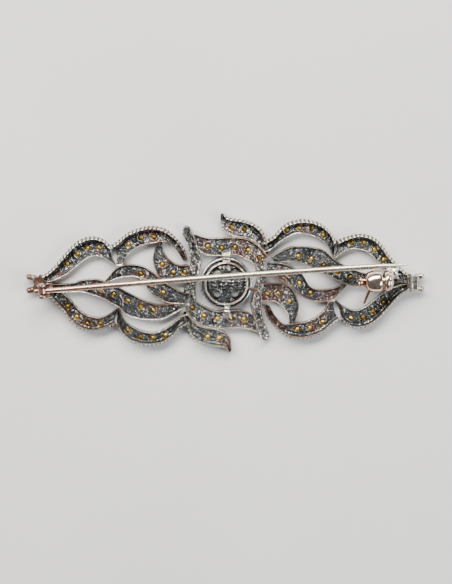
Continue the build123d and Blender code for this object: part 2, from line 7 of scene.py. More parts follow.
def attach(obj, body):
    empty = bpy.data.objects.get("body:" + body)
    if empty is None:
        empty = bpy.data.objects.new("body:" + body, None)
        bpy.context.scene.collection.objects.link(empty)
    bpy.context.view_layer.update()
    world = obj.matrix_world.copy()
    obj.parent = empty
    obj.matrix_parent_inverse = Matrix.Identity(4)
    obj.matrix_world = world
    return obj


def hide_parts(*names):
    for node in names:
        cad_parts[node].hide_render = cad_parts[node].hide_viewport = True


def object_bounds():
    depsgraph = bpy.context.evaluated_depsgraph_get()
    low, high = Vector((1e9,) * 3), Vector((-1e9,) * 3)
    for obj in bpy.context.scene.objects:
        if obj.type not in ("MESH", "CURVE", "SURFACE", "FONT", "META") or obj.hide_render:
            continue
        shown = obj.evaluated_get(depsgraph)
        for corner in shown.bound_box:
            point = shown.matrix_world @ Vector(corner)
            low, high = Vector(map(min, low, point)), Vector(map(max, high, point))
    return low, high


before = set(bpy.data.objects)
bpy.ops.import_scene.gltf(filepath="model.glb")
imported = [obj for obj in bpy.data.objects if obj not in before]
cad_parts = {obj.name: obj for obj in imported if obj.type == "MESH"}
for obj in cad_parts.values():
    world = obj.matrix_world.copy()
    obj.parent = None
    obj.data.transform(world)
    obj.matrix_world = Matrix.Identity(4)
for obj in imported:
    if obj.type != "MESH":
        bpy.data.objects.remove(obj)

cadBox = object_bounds()
random.seed(4)

# Everything is modelled in millimetres round the origin and made metres at the end
mm = 0.001
perMm = 1000.0  # noise scale of one cell per millimetre
halfLong = 35.0
halfWide = 12.5
fitX = cadBox[1].x / mm / halfLong
fitY = cadBox[1].y / mm / halfWide


def emptySelection():
    if bpy.context.object and bpy.context.object.mode != "OBJECT":
        bpy.ops.object.mode_set(mode="OBJECT")
    bpy.ops.object.select_all(action="DESELECT")


def useOnly(obj):
    emptySelection()
    obj.select_set(True)
    bpy.context.view_layer.objects.active = obj


def applyAll(obj):
    useOnly(obj)
    for modifier in list(obj.modifiers):
        bpy.ops.object.modifier_apply(modifier=modifier.name)


def joinPieces(pieces, name):
    emptySelection()
    for piece in pieces:
        piece.select_set(True)
    bpy.context.view_layer.objects.active = pieces[0]
    if len(pieces) > 1:
        bpy.ops.object.join()
    joined = bpy.context.object
    joined.name = name
    return joined


def cutWith(obj, cutter, operation="DIFFERENCE", selfCrossing=False):
    # takes the cutter's shape out of the piece (or welds it on), then drops the cutter
    modifier = obj.modifiers.new("cut", "BOOLEAN")
    modifier.operation = operation
    modifier.solver = "EXACT"
    modifier.object = cutter
    modifier.use_self = selfCrossing
    useOnly(obj)
    bpy.ops.object.modifier_apply(modifier=modifier.name)
    bpy.data.objects.remove(cutter)


def bakeShape(obj):
    useOnly(obj)
    bpy.ops.object.transform_apply(location=True, rotation=True, scale=True)
    return obj


def copyOf(obj, name):
    twin = obj.copy()
    twin.data = obj.data.copy()
    twin.name = name
    bpy.context.scene.collection.objects.link(twin)
    return twin


def turnHalf(obj):
    obj.data.transform(Matrix.Rotation(math.pi, 4, "Z"))
    return obj


def halfTurned(obj, name):
    return turnHalf(copyOf(obj, name))


def finishPiece(obj, body, nodes, material, smoothAngle=40):
    # millimetres to metres, shading, material, body and the CAD nodes it stands for
    obj.scale = (mm, mm, mm)
    bakeShape(obj)
    bpy.ops.object.shade_smooth_by_angle(angle=math.radians(smoothAngle))
    obj.data.materials.clear()
    obj.data.materials.append(material)
    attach(obj, body)
    if nodes:
        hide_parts(*nodes)
    return obj


# Materials

class NodeSheet:
    # short way to add and join shader nodes
    def __init__(self, name):
        self.material = bpy.data.materials.new(name)
        self.material.use_nodes = True
        self.tree = self.material.node_tree
        self.shader = self.tree.nodes["Principled BSDF"]
        self.coords = self.tree.nodes.new("ShaderNodeTexCoord")

    def add(self, kind, **inputs):
        node = self.tree.nodes.new(kind)
        for key, value in inputs.items():
            if key in node.inputs:
                node.inputs[key].default_value = value
            else:
                setattr(node, key, value)
        return node

    def link(self, source, target):
        self.tree.links.new(source, target)

    def noise(self, cellsPerMm, detail=4.0, rough=0.55, twist=0.0):
        node = self.add("ShaderNodeTexNoise", Scale=cellsPerMm * perMm, Detail=detail, Roughness=rough)
        node.inputs["Distortion"].default_value = twist
        self.link(self.coords.outputs["Object"], node.inputs["Vector"])
        return node.outputs["Fac"]

    def ramp(self, source, stops):
        node = self.add("ShaderNodeValToRGB")
        elements = node.color_ramp.elements
        while len(elements) < len(stops):
            elements.new(0.5)
        for element, (place, color) in zip(elements, stops):
            element.position = place
            element.color = (*color, 1.0) if len(color) == 3 else color
        self.link(source, node.inputs["Fac"])
        return node.outputs["Color"]

    def grey(self, source, low, high, fromValue=0.0, toValue=1.0):
        node = self.add("ShaderNodeMapRange")
        node.inputs["From Min"].default_value = low
        node.inputs["From Max"].default_value = high
        node.inputs["To Min"].default_value = fromValue
        node.inputs["To Max"].default_value = toValue
        self.link(source, node.inputs["Value"])
        return node.outputs["Result"]

    def mix(self, factor, first, second):
        node = self.add("ShaderNodeMix", data_type="RGBA")
        for socket, value in ((node.inputs[0], factor), (node.inputs[6], first), (node.inputs[7], second)):
            if isinstance(value, (float, int)):
                socket.default_value = value
            elif isinstance(value, tuple):
                socket.default_value = (*value, 1.0)
            else:
                self.link(value, socket)
        return node.outputs[2]

    def maths(self, operation, first, second):
        node = self.add("ShaderNodeMath", operation=operation)
        for socket, value in zip(node.inputs, (first, second)):
            if isinstance(value, (float, int)):
                socket.default_value = value
            else:
                self.link(value, socket)
        return node.outputs["Value"]

    def edges(self, low, high):
        # convex edges are bright and hollows dark
        geometry = self.add("ShaderNodeNewGeometry")
        return self.grey(geometry.outputs["Pointiness"], low, high)

    def bump(self, height, strength, distance):
        node = self.add("ShaderNodeBump", Strength=strength, Distance=distance * mm)
        self.link(height, node.inputs["Height"])
        self.link(node.outputs["Normal"], self.shader.inputs["Normal"])

    def out(self, socketName, source):
        self.link(source, self.shader.inputs[socketName])


castLook = {
    "dark": (0.010, 0.012, 0.015), "middle": (0.060, 0.065, 0.070), "plum": (0.085, 0.046, 0.042),
    "streak": (0.86, 0.85, 0.79), "edge": (0.96, 0.88, 0.74), "pinkEdge": (0.72, 0.46, 0.36),
    "bloom": (0.46, 0.56, 0.50),
}


def castSilver(name, streakShare=0.57, plumShare=0.55, rimLow=1.12, rimHigh=1.34, rimShare=1.0):
    sheet = NodeSheet(name)
    patches = sheet.noise(0.33, 4.0, 0.6)
    base = sheet.ramp(patches, [(0.32, castLook["dark"]), (0.50, castLook["middle"]),
                                (0.66, castLook["dark"])])
    plum = sheet.grey(sheet.noise(0.16, 2.0), plumShare, plumShare + 0.08)
    base = sheet.mix(plum, base, castLook["plum"])
    bloom = sheet.grey(sheet.noise(0.30, 5.0, 0.7), 0.62, 0.72, 0.0, 0.75)
    base = sheet.mix(bloom, base, castLook["bloom"])
    # fine bright scratches, drawn out and broken up
    scratches = sheet.grey(sheet.noise(2.3, 7.0, 0.62, 2.2), streakShare, streakShare + 0.05)
    base = sheet.mix(scratches, base, castLook["streak"])
    split = sheet.add("ShaderNodeSeparateXYZ")
    sheet.link(sheet.coords.outputs["Object"], split.inputs["Vector"])
    high = sheet.grey(split.outputs["Z"], rimLow * mm, rimHigh * mm, 0.0, rimShare)
    proud = sheet.maths("MULTIPLY", high, sheet.edges(0.49, 0.55))
    broken = sheet.grey(sheet.noise(1.0, 4.0, 0.6), 0.30, 0.44, 0.25, 1.0)
    rubbed = sheet.maths("MULTIPLY", sheet.maths("MAXIMUM", proud, sheet.edges(0.53, 0.60)), broken)
    edgeTone = sheet.ramp(sheet.noise(0.20, 2.0), [(0.50, castLook["edge"]), (0.64, castLook["pinkEdge"])])
    base = sheet.mix(rubbed, base, edgeTone)
    sheet.out("Base Color", base)
    sheet.shader.inputs["Metallic"].default_value = 0.9
    bright = sheet.maths("MAXIMUM", rubbed, scratches)
    sheet.out("Roughness", sheet.grey(bright, 0.0, 1.0, 0.46, 0.26))
    sheet.bump(sheet.noise(2.6, 9.0, 0.68, 0.8), 0.8, 0.13)
    return sheet.material


polishedLooks = {
    "copperyFitting": dict(tone=(0.50, 0.36, 0.30), shade=(0.20, 0.12, 0.09), roughLow=0.26, roughHigh=0.44),
    "paleSolder": dict(tone=(0.80, 0.78, 0.70), shade=(0.42, 0.40, 0.33), roughLow=0.20, roughHigh=0.38),
    # the catch's warm tone and reddish shade patches are painted warm reflections
    "polishedCatch": dict(tone=(0.84, 0.70, 0.58), shade=(0.52, 0.24, 0.16), roughLow=0.09, roughHigh=0.20,
                          speckTone=(0.20, 0.11, 0.06)),
    "ringWire": dict(tone=(0.90, 0.92, 0.94), shade=(0.50, 0.52, 0.54), roughLow=0.22, roughHigh=0.36),
}


def polishedSilver(name, tone, shade, roughLow, roughHigh, speckTone=(0.10, 0.085, 0.075)):
    sheet = NodeSheet(name)
    # patches of the shade colour: tarnish, and on the catch a painted warm reflection
    tarnishAndReflection = sheet.grey(sheet.noise(0.35, 4.0, 0.6), 0.45, 0.62)
    base = sheet.mix(tarnishAndReflection, tone, shade)
    specks = sheet.grey(sheet.noise(3.0, 6.0), 0.62, 0.70, 0.0, 0.7)
    base = sheet.mix(specks, base, speckTone)
    hollow = sheet.edges(0.49, 0.44)
    base = sheet.mix(hollow, base, speckTone)
    sheet.out("Base Color", base)
    sheet.shader.inputs["Metallic"].default_value = 1.0
    sheet.out("Roughness", sheet.grey(sheet.noise(1.3, 5.0), 0.3, 0.7, roughLow, roughHigh))
    sheet.bump(sheet.noise(4.0, 6.0), 0.3, 0.03)
    return sheet.material


# warm is a painted reflection colour near the hinge; pale is the wire's colour towards the point
wireLook = {"warm": (0.74, 0.44, 0.34), "pale": (0.93, 0.84, 0.69), "dull": (0.58, 0.43, 0.32),
            "warmToX": -0.030, "paleFromX": 0.002}


def pinWire(name):
    # painted warm reflection near the hinge, paler towards the point
    sheet = NodeSheet(name)
    split = sheet.add("ShaderNodeSeparateXYZ")
    sheet.link(sheet.coords.outputs["Object"], split.inputs["Vector"])
    far = sheet.grey(split.outputs["X"], wireLook["warmToX"], wireLook["paleFromX"])
    base = sheet.mix(far, wireLook["warm"], wireLook["pale"])
    dull = sheet.grey(sheet.noise(0.30, 4.0, 0.6), 0.50, 0.66, 0.0, 0.4)
    base = sheet.mix(dull, base, wireLook["dull"])
    sheet.out("Base Color", base)
    sheet.shader.inputs["Metallic"].default_value = 1.0
    sheet.out("Roughness", sheet.grey(sheet.noise(1.4, 4.0), 0.3, 0.7, 0.20, 0.32))
    sheet.bump(sheet.noise(1.5, 5.0), 0.12, 0.008)
    return sheet.material


goldLook = {"dark": (0.14, 0.085, 0.02), "middle": (0.50, 0.34, 0.07), "bright": (0.85, 0.68, 0.24)}


def pyrite(name):
    sheet = NodeSheet(name)
    tone = sheet.ramp(sheet.noise(0.9, 3.0), [(0.36, goldLook["dark"]), (0.53, goldLook["middle"]),
                                              (0.70, goldLook["bright"])])
    sheet.out("Base Color", tone)
    sheet.shader.inputs["Metallic"].default_value = 0.85
    sheet.out("Roughness", sheet.grey(sheet.noise(2.5, 4.0), 0.3, 0.7, 0.22, 0.45))
    sheet.bump(sheet.noise(2.4, 4.0), 0.5, 0.05)
    return sheet.material


glassLook = {"clear": (0.30, 0.36, 0.31), "cloudy": (0.66, 0.70, 0.64), "ior": 1.6, "letsThrough": 0.55}


def pasteGlass(name):
    sheet = NodeSheet(name)
    cloud = sheet.noise(0.7, 4.0)
    sheet.out("Base Color", sheet.ramp(cloud, [(0.35, glassLook["clear"]), (0.65, glassLook["cloudy"])]))
    sheet.shader.inputs["Metallic"].default_value = 0.0
    sheet.out("Roughness", sheet.grey(sheet.noise(1.6, 3.0), 0.3, 0.7, 0.05, 0.18))
    sheet.shader.inputs["IOR"].default_value = glassLook["ior"]
    sheet.shader.inputs["Transmission Weight"].default_value = glassLook["letsThrough"]
    sheet.bump(sheet.noise(1.1, 2.0), 0.2, 0.02)
    return sheet.material


castMetal = castSilver("castSilverDark")
bandMetal = castSilver("castSilverPlum", streakShare=0.55, plumShare=0.50)
foldMetal = castSilver("castSilverFold", streakShare=0.55, plumShare=0.58, rimLow=1.80, rimHigh=2.05)
settingMetal = castSilver("castSilverSetting", streakShare=0.58, plumShare=0.66, rimLow=2.40, rimHigh=2.52)
hingeMetal, solderMetal, catchMetal, ringMetal = [polishedSilver(name, **look)
                                                 for name, look in polishedLooks.items()]
wireMetal = pinWire("pinWireMetal")
stoneGold = pyrite("marcasiteGold")
pasteStone = pasteGlass("paleGlass")
print("materials ready")


# Ribbons of the openwork

# Edge points in millimetres; "outer" carries the rim, "inner" runs the same way
ribbons = {
    "outer_lobe_upper": dict(
        kind="milled", lensEnd=1,
        outer=[(-32.6, 1.2), (-30.9, 2.35), (-28.9, 4.6), (-26.9, 6.8), (-25.2, 7.9), (-23.2, 8.3),
               (-21.5, 7.8), (-20.3, 6.7)],
        inner=[(-32.2, 0.2), (-30.4, 0.4), (-28.2, 1.35), (-26.5, 2.6), (-24.5, 4.2), (-22.7, 4.8),
               (-21.0, 4.2), (-19.3, 3.0)],
        stones=[(-27.8, 3.5), (-26.0, 5.1), (-24.2, 6.2), (-22.1, 6.3)]),
    "inner_lobe_upper": dict(
        kind="milled", lensEnd=0,
        outer=[(-20.3, 6.7), (-19.0, 7.5), (-17.1, 9.0), (-14.8, 9.9), (-12.6, 10.1), (-10.4, 9.5),
               (-8.7, 8.0), (-7.2, 6.0), (-6.7, 4.1)],
        inner=[(-19.1, 3.0), (-18.1, 3.3), (-17.3, 4.8), (-15.8, 6.05), (-14.1, 6.8), (-12.6, 7.0),
               (-10.4, 7.3), (-8.9, 6.05), (-7.6, 4.0)],
        stones=[(-17.1, 6.9), (-14.9, 8.0), (-12.6, 8.2)]),
    "outer_lobe_lower": dict(
        kind="milled", lensEnd=1,
        outer=[(-32.2, -1.5), (-31.0, -2.5), (-28.9, -4.8), (-27.7, -6.5), (-26.2, -7.9), (-24.2, -8.6),
               (-22.5, -8.5), (-20.5, -7.9), (-19.3, -7.5)],
        inner=[(-29.6, -0.9), (-27.7, -2.3), (-26.5, -3.7), (-25.0, -5.2), (-23.5, -5.8), (-22.0, -5.9),
               (-20.5, -5.3), (-19.1, -4.2)],
        stones=[(-27.8, -4.0), (-26.2, -5.9), (-24.3, -7.1), (-22.1, -7.1)]),
    "inner_lobe_lower": dict(
        kind="milled", lensEnd=0,
        outer=[(-19.3, -7.5), (-18.1, -9.25), (-16.6, -10.5), (-14.8, -11.1), (-12.9, -11.2),
               (-10.9, -10.7), (-9.4, -9.6), (-8.4, -8.4), (-6.5, -7.4)],
        inner=[(-19.0, -4.2), (-17.6, -6.7), (-15.8, -7.9), (-14.1, -8.5), (-12.4, -8.6), (-10.7, -7.9),
               (-9.2, -6.9), (-7.9, -5.8), (-6.5, -5.3)],
        stones=[(-17.2, -8.4), (-15.1, -9.6), (-12.9, -9.7), (-10.7, -9.3)]),
    "s_ribbon_upper": dict(
        kind="plate",
        outer=[(-21.3, 0.4), (-20.5, 1.35), (-19.3, 2.7), (-18.1, 3.3), (-15.8, 3.3), (-14.1, 2.85),
               (-12.6, 1.7), (-11.4, 0.6), (-10.2, -0.1), (-8.9, -0.9), (-7.1, -1.8)],
        inner=[(-20.9, 0.2), (-19.3, 0.8), (-17.6, 1.1), (-15.8, 1.1), (-14.6, 0.4), (-13.6, -1.35),
               (-12.6, -2.3), (-11.2, -3.1), (-9.7, -3.6), (-7.3, -3.7)],
        stones=[(-14.9, 1.7), (-13.0, 0.0), (-11.0, -1.6)]),
    "s_ribbon_lower": dict(
        kind="plate",
        outer=[(-32.2, 0.2), (-30.4, -0.1), (-26.9, 0.1), (-25.5, 0.6), (-23.5, 0.8), (-21.8, 0.6),
               (-19.0, -0.6), (-16.6, -1.85), (-14.1, -3.1), (-11.6, -3.7), (-8.7, -3.5)],
        inner=[(-32.2, -1.6), (-29.8, -1.6), (-26.7, -1.5), (-25.2, -1.55), (-23.5, -2.0), (-21.5, -2.8),
               (-19.0, -4.2), (-17.3, -5.7), (-15.3, -6.3), (-13.4, -6.5), (-10.9, -6.3), (-7.8, -4.6)],
        stones=[(-21.9, -1.0), (-19.7, -1.9), (-17.2, -3.1), (-15.0, -4.2), (-12.8, -4.8)]),
    "crescent": dict(
        kind="plate",
        outer=[(-11.7, 7.6), (-12.5, 6.05), (-12.9, 4.3), (-12.6, 2.85), (-11.9, 1.3), (-10.6, 0.2),
               (-8.4, 0.0), (-6.3, 0.1)],
        inner=[(-11.1, 7.4), (-10.8, 5.6), (-9.8, 4.2), (-8.4, 3.3), (-6.9, 3.3), (-6.3, 3.2)],
        stones=[(-11.2, 3.3), (-9.2, 1.85), (-7.25, 1.9)]),
}

centreRibbons = {
    "band": dict(
        kind="plate",
        outer=[(-5.6, 8.7), (-3.5, 8.1), (-1.8, 8.0), (1.2, 8.1), (3.7, 7.8), (5.6, 6.7), (7.3, 4.8)],
        inner=[(-4.7, 5.7), (-3.6, 5.0), (-1.8, 4.75), (0.2, 4.85), (1.9, 4.85), (3.6, 4.1), (4.9, 3.3),
               (6.1, 1.6)],
        stones=[(-3.2, 6.5), (-0.8, 6.2), (1.6, 6.3), (3.9, 5.8), (5.9, 4.4)]),
    "leaf": dict(
        kind="milled",
        outer=[(-0.55, 12.5), (0.45, 11.6), (2.9, 11.2), (4.9, 10.6), (6.4, 9.4), (7.1, 7.8), (7.7, 5.3)],
        inner=[(-1.0, 11.9), (-0.9, 10.0), (0.0, 8.8), (1.4, 8.15), (3.7, 7.85), (5.6, 6.75), (7.1, 4.9)],
        stones=[(1.06, 9.8), (3.2, 9.5)]),
}

ribbonShape = {
    "spanPoints": 24, "stationGap": 0.10, "fullWidth": 2.3,
    "millPitch": 0.74, "millDepth": 0.34, "millSlant": 0.28,
    "seatRadius": 0.54, "frontSeatRadius": 0.74, "frontSeatDepth": 0.42, "drillSides": 20,
    "lensPull": 0.58, "lensReach": 1.8, "lensFrom": 0.04, "lensWide": 0.84, "endStep": 0.04,
    "floorLow": 0.55, "floorHigh": 1.25, "floorFrom": 0.5, "roughness": 0.10,
    "burr": 0.07, "burrRadius": 0.66, "burrWide": 0.13,
    "rimWave": 0.05, "rimWander": 0.03,
}


def grain(spot, scale, layer, scaleY=None):
    # smooth noise over the plan, from -1 to 1; each layer is a pattern of its own
    return noise.noise(Vector((spot[0] * scale, spot[1] * (scaleY or scale), layer)))


def smoothLine(points):
    # Catmull-Rom line through the points, with the length run at each fine point
    scaled = [Vector((x * fitX, y * fitY)) for x, y in points]
    ends = [2 * scaled[0] - scaled[1]] + scaled + [2 * scaled[-1] - scaled[-2]]
    fine = []
    for i in range(1, len(ends) - 2):
        a, b, c, d = ends[i - 1:i + 3]
        for step in range(ribbonShape["spanPoints"]):
            t = step / ribbonShape["spanPoints"]
            fine.append(0.5 * (2 * b + (c - a) * t + (2 * a - 5 * b + 4 * c - d) * t ** 2
                               + (3 * b - 3 * c + d - a) * t ** 3))
    fine.append(scaled[-1])
    lengths = [0.0]
    for before, after in zip(fine, fine[1:]):
        lengths.append(lengths[-1] + (after - before).length)
    return fine, lengths


def alongLine(line, share):
    # the point at a share of the line's whole length
    fine, lengths = line
    wanted = share * lengths[-1]
    low = 0
    while low < len(lengths) - 2 and lengths[low + 1] < wanted:
        low += 1
    span = max(lengths[low + 1] - lengths[low], 1e-9)
    return fine[low].lerp(fine[low + 1], (wanted - lengths[low]) / span)


# Cross-sections, as loops round the metal from the outer front edge. A wall point is (in from the outer
# edge, height), then the inward and downward share of a mill cut; the lip is measured from the inner edge
sections = {
    "milled": {
        "wall": [(0.10, 0.0, 1, 0), (0.0, 0.3, 1, 0), (0.0, 0.75, 1, 0), (0.08, 1.2, 1, 0),
                 (0.20, 1.6, 0.9, 0), (0.30, 1.9, 0.8, 0.35), (0.40, 2.07, 0.5, 0.35), (0.52, 2.1, 0, 0.35),
                 (0.60, 2.0, 0, 0.35), (0.64, 1.6), (0.70, 1.1), (0.80, 0.74), (1.05, 0.62)],
        "floor": dict(start=1.05, less=1.45, steps=12, low=0.62, rise=0.36, curve=0.7),
        "lip": [(0.32, 1.12), (0.25, 1.32), (0.15, 1.38), (0.05, 1.3), (0, 1.1), (0, 0.5), (0.06, 0.12),
                (0.16, 0.0), (0.34, 0.0), (0.44, 0.16)],
        "under": dict(start=0.44, less=1.24, steps=4, high=0.2),
        "foot": [(0.72, 0.16), (0.6, 0.0), (0.3, 0.0)],
    },
    "plate": {
        "wall": [(0.16, 0.0), (0.04, 0.12), (0.0, 0.6), (0.0, 1.2), (0.04, 1.42, 0, -0.1),
                 (0.12, 1.5, 0, -0.1), (0.21, 1.42), (0.26, 1.2), (0.32, 1.0), (0.46, 0.90)],
        "floor": dict(start=0.46, less=0.90, steps=15, low=0.90, rise=0.04, curve=None),
        "lip": [(0.34, 1.02), (0.27, 1.24), (0.18, 1.40), (0.09, 1.42), (0.02, 1.30), (0, 1.1), (0, 0.5),
                (0.06, 0.12), (0.16, 0.0), (0.34, 0.0), (0.44, 0.16)],
        "under": dict(start=0.44, less=0.88, steps=5, high=0.2),
        "foot": [(0.34, 0.0)],
    },
    "fold": {
        "wall": [(0.14, 0.0), (0.0, 0.15), (0.0, 0.8), (0.06, 1.15)],
        "floor": dict(start=0.06, less=0.46, steps=12, low=1.15, rise=0.75, curve=1.4),
        "lip": [(0.30, 2.02), (0.20, 2.05), (0.10, 1.9), (0.03, 1.5), (0, 1.0), (0, 0.4), (0.06, 0.1),
                (0.2, 0.0)],
        "under": dict(start=0.2, less=0.5, steps=4, high=0.0),
        "foot": [],
    },
}


def sectionLoop(kind, width, cut):
    look = sections[kind]
    floor, under = look["floor"], look["under"]
    wall, bottom = [], []
    for along, high, *shares in look["wall"]:
        inward, down = shares or (0, 0)
        wall.append((along + inward * cut, high - down * cut))
    for k in range(1, floor["steps"] + 1):
        share = k / floor["steps"]
        swell = share ** floor["curve"] if floor["curve"] else math.sin(math.pi * share)
        bottom.append((floor["start"] + (width - floor["less"]) * k / floor["steps"],
                       floor["low"] + floor["rise"] * swell))
    lip = [(width - back, high) for back, high in look["lip"]]
    front = [(width - under["start"] - (width - under["less"]) * k / under["steps"], under["high"])
             for k in range(1, under["steps"] + 1)]
    return wall + bottom + lip + front + look["foot"]


def lensShift(spec, outer, across, share, length, inShare):
    # a lobe's end is drawn back in an arc, which leaves a pointed opening beside the next lobe
    look = ribbonShape
    end = spec["lensEnd"]
    arc = math.sin(math.pi * min(1.0, max(0.0, inShare - look["lensFrom"]) / look["lensWide"]))
    toMiddle = alongLine(outer, abs(end - look["endStep"])) - alongLine(outer, end)
    inward = Vector((-across.y, across.x))
    inward = inward if inward.dot(toMiddle) > 0 else -inward
    return inward * look["lensPull"] * arc * max(0.0, 1 - abs(share - end) * length / look["lensReach"])


def ribbonMesh(name, spec):
    look = ribbonShape
    outer = smoothLine(spec["outer"])
    inner = smoothLine(spec["inner"])
    length = max(outer[1][-1], inner[1][-1])
    loopCount = len(sectionLoop(spec["kind"], look["fullWidth"], 0.0))
    emptySelection()
    stations = int(length / look["stationGap"])
    bpy.ops.mesh.primitive_grid_add(x_subdivisions=loopCount, y_subdivisions=stations, size=1)
    obj = bpy.context.object
    obj.name = name
    stones = [Vector((x * fitX, y * fitY)) for x, y in spec["stones"]]
    for vert in obj.data.vertices:
        k = round((vert.co.x + 0.5) * loopCount) % loopCount
        share = vert.co.y + 0.5
        edge = alongLine(outer, share)
        across = alongLine(inner, share) - edge
        width = max(across.length, 0.05)
        across = across / width
        squeeze = min(1.0, width / look["fullWidth"])
        wide = width / squeeze
        plainHeight = sectionLoop(spec["kind"], wide, 0.0)[k][1]
        phase = share * outer[1][-1] / look["millPitch"] + look["millSlant"] * plainHeight
        tooth = abs(math.sin(math.pi * phase))
        reach, height = sectionLoop(spec["kind"], wide, look["millDepth"] * (1 - tooth))[k]
        spot = edge + across * reach * squeeze
        if "lensEnd" in spec:
            spot = spot + lensShift(spec, outer, across, share, length, reach * squeeze / width)
        z = height
        if look["floorLow"] < height < look["floorHigh"] and reach > look["floorFrom"]:
            z += look["roughness"] * (grain(spot, 1.9, 3.0) + 0.5 * grain(spot, 5.0, 9.0))
            for stone in stones:
                apart = (spot - stone).length
                z += look["burr"] * math.exp(-((apart - look["burrRadius"]) / look["burrWide"]) ** 2)
        elif height > look["floorHigh"]:
            z += look["rimWave"] * grain(spot, 0.9, 1.0)
            spot = spot + across * look["rimWander"] * grain(spot, 2.2, 5.0)
        vert.co = (spot.x, spot.y, z)
    closeTube(obj)
    return obj


def closeTube(obj):
    # seam merged, both ends filled, faces outwards
    useOnly(obj)
    bpy.ops.object.mode_set(mode="EDIT")
    bpy.ops.mesh.select_all(action="SELECT")
    bpy.ops.mesh.remove_doubles(threshold=0.0004)
    bpy.ops.mesh.select_all(action="DESELECT")
    bpy.ops.mesh.select_non_manifold()
    bpy.ops.mesh.fill_holes(sides=0)
    bpy.ops.mesh.select_all(action="SELECT")
    bpy.ops.mesh.normals_make_consistent(inside=False)
    bpy.ops.object.mode_set(mode="OBJECT")


def drillSet(points, radius, depth, middleZ):
    drills = []
    for x, y in points:
        emptySelection()
        bpy.ops.mesh.primitive_cylinder_add(vertices=ribbonShape["drillSides"], radius=radius, depth=depth,
                                            location=(x * fitX, y * fitY, middleZ))
        drills.append(bpy.context.object)
    return bakeShape(joinPieces(drills, "drills"))


def ribbonPiece(name, spec):
    # each stone has a through hole and a wider seat on the front
    look = ribbonShape
    obj = ribbonMesh(name, spec)
    cutWith(obj, drillSet(spec["stones"], look["seatRadius"], 6, 1))
    cutWith(obj, drillSet(spec["stones"], look["frontSeatRadius"], 2 * look["frontSeatDepth"], 0))
    return obj


for name, spec in ribbons.items():
    leftPiece = ribbonPiece(name, spec)
    rightPiece = halfTurned(leftPiece, "rightRibbon_" + name)
    leftPiece.name = "leftRibbon_" + name
    finishPiece(leftPiece, "frame", ["left_" + name], castMetal)
    finishPiece(rightPiece, "frame", ["right_" + name], castMetal)
for name, spec in centreRibbons.items():
    upperPiece = ribbonPiece(name, spec)
    lowerPiece = halfTurned(upperPiece, "lower_" + name + "_cast")
    upperPiece.name = "upper_" + name + "_cast"
    finishPiece(upperPiece, "frame", ["upper_" + name], bandMetal)
    finishPiece(lowerPiece, "frame", ["lower_" + name], bandMetal)
print("ribbons done")


# Marcasites

marcasite = {"girdle": 0.70, "girdleZ": 0.30, "belt": 0.08, "backRise": 0.42, "backShare": 0.42,
             "tipRise": 0.07, "tipShare": 0.45, "crownDrop": 0.14, "crownShare": 0.6, "apexDrop": 0.10,
             "apexShare": 0.25, "smallest": 0.93, "largest": 1.03, "tilt": 0.16, "smoothAngle": 5}


def pushFace(obj, up, move, share):
    # extrudes the face that points up (or down), moves it and draws it in
    useOnly(obj)
    bpy.ops.object.mode_set(mode="EDIT")
    bpy.ops.mesh.select_all(action="DESELECT")
    bpy.ops.object.mode_set(mode="OBJECT")
    level = max(v.co.z * up for v in obj.data.vertices)
    for face in obj.data.polygons:
        face.select = face.normal.z * up > 0.99 and abs(face.center.z * up - level) < 1e-4
    bpy.ops.object.mode_set(mode="EDIT")
    bpy.ops.mesh.extrude_region_move(TRANSFORM_OT_translate={"value": (0, 0, move * up)})
    bpy.ops.transform.resize(value=(share, share, 1), center_override=(0, 0, 0))
    bpy.ops.object.mode_set(mode="OBJECT")


def makeMarcasite():
    emptySelection()
    bpy.ops.mesh.primitive_cylinder_add(vertices=6, radius=marcasite["girdle"], depth=marcasite["belt"],
                                        location=(0, 0, marcasite["girdleZ"]))
    stone = bakeShape(bpy.context.object)
    pushFace(stone, 1, marcasite["backRise"], marcasite["backShare"])
    pushFace(stone, 1, marcasite["tipRise"], marcasite["tipShare"])
    pushFace(stone, -1, marcasite["crownDrop"], marcasite["crownShare"])
    pushFace(stone, -1, marcasite["apexDrop"], marcasite["apexShare"])
    return stone


def stoneGroup(points, node):
    # one copy in each seat, each turned and tilted a little its own way
    copies = []
    for x, y in points:
        stone = copyOf(stoneModel, "stone")
        turn = random.uniform(0, math.pi)
        size = random.uniform(marcasite["smallest"], marcasite["largest"])
        leanX, leanY = [random.uniform(-marcasite["tilt"], marcasite["tilt"]) for axis in "xy"]
        for vert in stone.data.vertices:
            c = vert.co.copy()
            above = max(c.z - marcasite["girdleZ"], 0)
            rx = (c.x * math.cos(turn) - c.y * math.sin(turn)) * size + above * leanX
            ry = (c.x * math.sin(turn) + c.y * math.cos(turn)) * size + above * leanY
            vert.co = (rx + x * fitX, ry + y * fitY, c.z)
        copies.append(stone)
    group = joinPieces(copies, node + "_cut")
    finishPiece(group, "frame", [node], stoneGold, marcasite["smoothAngle"])


stoneModel = makeMarcasite()
stoneSets = {
    "upper_marcasites": ("outer_lobe_upper", "inner_lobe_upper"),
    "lower_marcasites": ("outer_lobe_lower", "inner_lobe_lower"),
    "scroll_marcasites": ("s_ribbon_upper", "s_ribbon_lower", "crescent"),
}
for setName, members in stoneSets.items():
    spots = [spot for member in members for spot in ribbons[member]["stones"]]
    for side, sign in (("left", 1), ("right", -1)):
        stoneGroup([(sign * x, sign * y) for x, y in spots], side + "_" + setName)
for part in centreRibbons:
    spots = centreRibbons[part]["stones"]
    for side, sign in (("upper", 1), ("lower", -1)):
        stoneGroup([(sign * x, sign * y) for x, y in spots], side + "_" + part + "_marcasites")
bpy.data.objects.remove(stoneModel)
print("marcasites done")


# Loose shapes that soldered and cast lumps are built from

def block(size, place, turn=(0, 0, 0)):
    emptySelection()
    bpy.ops.mesh.primitive_cube_add(size=1, location=place, rotation=[math.radians(a) for a in turn])
    bpy.context.object.scale = size
    return bakeShape(bpy.context.object)


